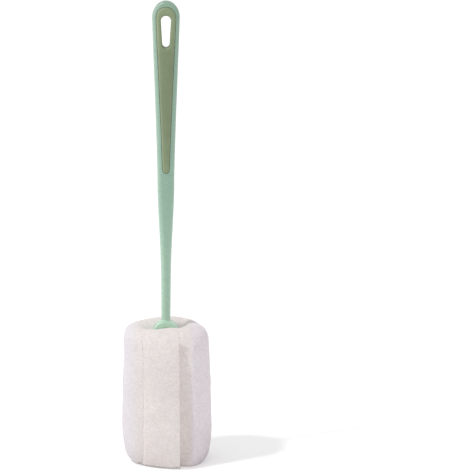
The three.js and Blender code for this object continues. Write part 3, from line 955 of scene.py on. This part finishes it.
FOAM_PAINTED_SIDE_LIGHT = (  # share of the way from the foam's left to its right, and painted light there: the sides bluer and the right brighter, standing for cool fill light, and the left lobe darker beside the shut slit as painted shade
    (0.03, (0.985, 1.005, 1.08)),
    (0.11, (0.96, 0.98, 1.045)),
    (0.2, (0.965, 0.975, 0.975)),
    (0.28, grey(1.0)),
    (0.755, grey(1.0)),
    (0.80, (1.01, 1.005, 1.085)),
    (0.92, (1.035, 1.03, 1.11)),
)
FOAM_MOTTLE = ((0.32, grey(0.93)), (0.68, grey(1)))
FOAM_PIT = (0.58, 0.52, 0.48)  # colour in the open cells
PIT_CELLS = (0.1, 0.45)  # distance from a cell's middle over which that colour fades
PIT_SHARE = 0.34
PAINTED_SHADE_LOW_RIGHT = (0.78, 0.77, 0.77)  # painted shade on the foam's lower right, where the floor beside it lies in the foam's shadow
PAINTED_SHADE_ACROSS = (15, 28)  # millimetres over which it comes in
PAINTED_SHADE_DOWN = (30, 6)


def maths(tree, operation, first, second):
    """The result of a sum with a socket, and another socket or a number."""
    node = tree.nodes.new("ShaderNodeMath")
    node.operation = operation
    tree.links.new(first, node.inputs[0])
    if isinstance(second, float):
        node.inputs[1].default_value = second
    else:
        tree.links.new(second, node.inputs[1])
    return node.outputs[0]


class Nodes:
    """A procedural material under construction."""

    def __init__(self, name):
        self.material = bpy.data.materials.new(name)
        self.material.use_nodes = True
        self.tree = self.material.node_tree
        self.shader = self.tree.nodes["Principled BSDF"]
        self.place = self.add("ShaderNodeTexCoord").outputs["Object"]

    def add(self, kind, **settings):
        node = self.tree.nodes.new(kind)
        for key, value in settings.items():
            setattr(node, key, value)
        return node

    def link(self, source, target):
        self.tree.links.new(source, target)

    def noise(self, scale, detail):
        node = self.add("ShaderNodeTexNoise")
        node.inputs["Scale"].default_value = scale
        node.inputs["Detail"].default_value = detail
        node.inputs["Roughness"].default_value = NOISE_ROUGHNESS
        self.link(self.place, node.inputs["Vector"])
        return node.outputs["Fac"]

    def cells(self, scale):
        node = self.add("ShaderNodeTexVoronoi")
        node.inputs["Scale"].default_value = scale
        self.link(self.place, node.inputs["Vector"])
        return node.outputs["Distance"]

    def span(self, value, start, end, to_start, to_end):
        """A value turned into another range, and held at its ends."""
        node = self.add("ShaderNodeMapRange")
        numbers = {"From Min": start, "From Max": end, "To Min": to_start, "To Max": to_end}
        for socket, number in numbers.items():
            node.inputs[socket].default_value = number
        self.link(value, node.inputs["Value"])
        return node.outputs["Result"]

    def along(self, axis, start, end):
        """The share of the way along an axis, from one place in millimetres to another."""
        node = self.add("ShaderNodeSeparateXYZ")
        self.link(self.place, node.inputs[0])
        return self.span(node.outputs[axis], start * MM, end * MM, 0, 1)

    def ramp(self, value, stops):
        node = self.add("ShaderNodeValToRGB")
        elements = node.color_ramp.elements
        while len(elements) < len(stops):
            elements.new(0.5)
        for element, (position, colour) in zip(elements, stops):
            element.position = position
            element.color = (*colour, 1)
        self.link(value, node.inputs["Fac"])
        return node.outputs["Color"]

    def clouds(self, value, colours):
        """A noise turned into colours between a dark and a light one."""
        return self.ramp(value, tuple(zip(NOISE_MIDDLE, colours)))

    def mix(self, share, first, second, blend):
        """Two colours, by a share or by its socket; the second may be plain."""
        node = self.add("ShaderNodeMix", data_type="RGBA", blend_type=blend)
        for value, number in zip((share, first, second), MIX_INPUTS):
            socket = node.inputs[number]
            if isinstance(value, float):
                socket.default_value = value
            elif isinstance(value, tuple):
                socket.default_value = (*value, 1)
            else:
                self.link(value, socket)
        return node.outputs[MIX_RESULT]

    def times(self, first, second):
        return self.mix(1.0, first, second, "MULTIPLY")

    def bump(self, height, depth, strength, under=None):
        """A normal for bumps of a depth in millimetres, over another normal or the plain one."""
        node = self.add("ShaderNodeBump")
        node.inputs["Distance"].default_value = depth * MM
        node.inputs["Strength"].default_value = strength
        self.link(height, node.inputs["Height"])
        if under:
            self.link(under, node.inputs["Normal"])
        return node.outputs["Normal"]

    def finish(self, obj, colour, rough, normal, gloss):
        self.link(colour, self.shader.inputs["Base Color"])
        self.link(rough, self.shader.inputs["Roughness"])
        self.link(normal, self.shader.inputs["Normal"])
        self.shader.inputs["Specular IOR Level"].default_value = gloss
        obj.data.materials.clear()
        obj.data.materials.append(self.material)


def mint_plastic(obj):
    nodes = Nodes("mint_plastic")
    cloud = nodes.clouds(nodes.noise(scale=60, detail=3), MINT_CLOUDS)
    # painted light: the mint is palest on the loop and paler down the stem, darker towards the head
    body = nodes.ramp(nodes.along("Z", FOAM_HEIGHT, handle_top), MINT_AND_PAINTED_LIGHT)
    rough = nodes.span(nodes.noise(scale=240, detail=2), *NOISE_MIDDLE, to_start=0.25, to_end=0.30)
    grain = nodes.bump(nodes.noise(scale=2600, detail=2), depth=0.03, strength=0.25)
    normal = nodes.bump(nodes.noise(scale=120, detail=2), depth=0.08, strength=0.12, under=grain)
    nodes.finish(obj, nodes.times(body, cloud), rough, normal, gloss=0.5)


def olive_rubber(obj):
    nodes = Nodes("olive_rubber")
    olive = nodes.clouds(nodes.noise(scale=80, detail=3), OLIVE_CLOUDS)
    # painted light: the pad is paler towards its tip, and a painted highlight lies from the hanging
    # slot up to the head
    painted_olive_light = nodes.ramp(nodes.along("Z", grip_foot, grip_top), OLIVE_PAINTED_LIGHT)
    rough = nodes.span(nodes.noise(scale=300, detail=4), *NOISE_MIDDLE, to_start=0.42, to_end=0.56)
    grain = nodes.bump(nodes.noise(scale=3200, detail=2), depth=0.04, strength=0.4)
    normal = nodes.bump(nodes.noise(scale=150, detail=2), depth=0.08, strength=0.15, under=grain)
    nodes.finish(obj, nodes.times(olive, painted_olive_light), rough, normal, gloss=0.4)


def white_foam(obj):
    nodes = Nodes("white_foam")
    pores = nodes.cells(scale=900)
    fine = nodes.noise(scale=1500, detail=3)
    pale = nodes.clouds(nodes.noise(scale=45, detail=4), FOAM_CLOUDS)
    mottle = nodes.ramp(nodes.noise(scale=420, detail=2), FOAM_MOTTLE)
    # painted light: bluer sides, a brighter right side, and painted shade on the left lobe beside
    # the shut slit
    painted_side_light = nodes.ramp(nodes.along("X", -FOAM_WIDTH / 2, FOAM_WIDTH / 2), FOAM_PAINTED_SIDE_LIGHT)
    # painted shade: the foam's lower right is darkened, where the floor beside it lies in shadow
    right, low = nodes.along("X", *PAINTED_SHADE_ACROSS), nodes.along("Z", *PAINTED_SHADE_DOWN)
    shade = maths(nodes.tree, "MULTIPLY", right, low)
    pale = nodes.times(nodes.times(pale, mottle), painted_side_light)
    pale = nodes.mix(shade, pale, PAINTED_SHADE_LOW_RIGHT, "MULTIPLY")
    pits = nodes.span(pores, *PIT_CELLS, to_start=PIT_SHARE, to_end=0)
    colour = nodes.mix(pits, pale, FOAM_PIT, "MIX")
    rough = nodes.span(fine, *NOISE_MIDDLE, to_start=0.92, to_end=1.0)
    cells = nodes.bump(pores, depth=0.45, strength=0.6)
    normal = nodes.bump(fine, depth=0.25, strength=0.5, under=cells)
    nodes.finish(obj, colour, rough, normal, gloss=0.15)


# Room: floor, light and camera, in metres and degrees

FLOOR_HALF = 9.0
FLOOR_DROP = 0.02 * MM  # below the foam's cut ends
FLOOR_PAINT = 0.92
FLOOR_GLOW = 0.215  # seen on top of the light that falls on it
FILL = 0.71  # the world's light on the object
KEY = 0.335
KEY_WIDTH = 6
KEY_RISE = 54
KEY_BACK = 27
PART_MIDDLE = (0, 0, 0.16)
SOFTBOXES = (  # name, place, size, brightness and what it faces
    ("left_box", (-1.3, 0.1, 0.45), (2.4, 1.3), 2.4, PART_MIDDLE),
    ("high_box", (-0.8, -0.5, 1.4), (1.2, 1.2), 2.2, PART_MIDDLE),
    ("left_table", (-0.75, 0, 0.003), (0.9, 1.4), 1.9, (-0.75, 0, 1)),
    ("right_table", (0.75, 0, 0.003), (0.9, 1.4), 0.9, (0.75, 0, 1)),
)
CAMERA_TARGET = (0, 0, 0.1594)
CAMERA_AWAY = 1.5
CAMERA_TILT = 12
CAMERA_SENSOR = 36  # millimetres, as is the lens
CAMERA_LENS = 167.8
CAMERA_SHIFT = 0.147
CAMERA_CLIP_END = 40


def aim(obj, towards):
    obj.rotation_euler = towards.to_track_quat("-Z", "Y").to_euler()


def seen_directly(tree, share):
    """A share for rays from the camera and in reflections, and nothing for light on the object."""
    path = tree.nodes.new("ShaderNodeLightPath")
    total = path.outputs["Is Camera Ray"]
    for name in ("Is Glossy Ray", "Is Transmission Ray"):
        total = maths(tree, "MAXIMUM", total, path.outputs[name])
    return maths(tree, "MULTIPLY", total, share)


def build_floor():
    near, far = -FLOOR_HALF, FLOOR_HALF
    corners = [(near, near, 0), (far, near, 0), (far, far, 0), (near, far, 0)]
    mesh = bpy.data.meshes.new("floor")
    mesh.from_pydata(corners, [], [(0, 1, 2, 3)])
    floor = add_object("floor", mesh)
    floor.location.z = -FLOOR_DROP
    material = bpy.data.materials.new("floor")
    material.use_nodes = True
    tree = material.node_tree
    tree.nodes.clear()
    paint = tree.nodes.new("ShaderNodeBsdfDiffuse")
    paint.inputs["Color"].default_value = (*grey(FLOOR_PAINT), 1)
    glow = tree.nodes.new("ShaderNodeEmission")
    glow.inputs["Color"].default_value = (*grey(1), 1)
    tree.links.new(seen_directly(tree, FLOOR_GLOW), glow.inputs["Strength"])
    both = tree.nodes.new("ShaderNodeAddShader")
    tree.links.new(paint.outputs[0], both.inputs[0])
    tree.links.new(glow.outputs[0], both.inputs[1])
    output = tree.nodes.new("ShaderNodeOutputMaterial")
    tree.links.new(both.outputs[0], output.inputs["Surface"])
    mesh.materials.append(material)


def build_light():
    world = bpy.data.worlds.new("studio")
    world.use_nodes = True
    tree = world.node_tree
    background = tree.nodes["Background"]
    background.inputs["Color"].default_value = (*grey(1), 1)
    strength = maths(tree, "ADD", seen_directly(tree, 1 - FILL), FILL)
    tree.links.new(strength, background.inputs["Strength"])
    bpy.context.scene.world = world
    sun = bpy.data.lights.new("key", "SUN")
    sun.energy = KEY * math.pi
    sun.angle = math.radians(KEY_WIDTH)
    rise, back = math.radians(KEY_RISE), math.radians(KEY_BACK)
    level = math.cos(rise)
    towards = Vector((math.cos(back) * level, math.sin(back) * level, -math.sin(rise)))
    aim(add_object("key", sun), towards)
    for box in SOFTBOXES:
        softbox(*box)


def softbox(name, place, size, brightness, target):
    """A lamp panel that only shows as gloss; the sun and the world light the colours."""
    lamp = bpy.data.lights.new(name, "AREA")
    lamp.shape = "RECTANGLE"
    lamp.size, lamp.size_y = size
    lamp.energy = brightness * math.pi * size[0] * size[1]
    panel = add_object(name, lamp)
    panel.location = place
    aim(panel, Vector(target) - panel.location)
    panel.visible_camera = False
    panel.visible_diffuse = False


def build_camera():
    target, tilt = Vector(CAMERA_TARGET), math.radians(CAMERA_TILT)
    camera = bpy.data.cameras.new("camera")
    camera.sensor_width = CAMERA_SENSOR
    camera.lens = CAMERA_LENS
    camera.shift_x = CAMERA_SHIFT
    camera.clip_end = CAMERA_CLIP_END
    obj = add_object("camera", camera)
    obj.location = target + Vector((0, -math.cos(tilt), math.sin(tilt))) * CAMERA_AWAY
    aim(obj, target - obj.location)
    bpy.context.scene.camera = obj


build_camera()
build_light()
build_floor()
mint_plastic(build_handle())
olive_rubber(build_grip())
white_foam(build_foam())
bpy.context.scene.view_settings.view_transform = "Standard"
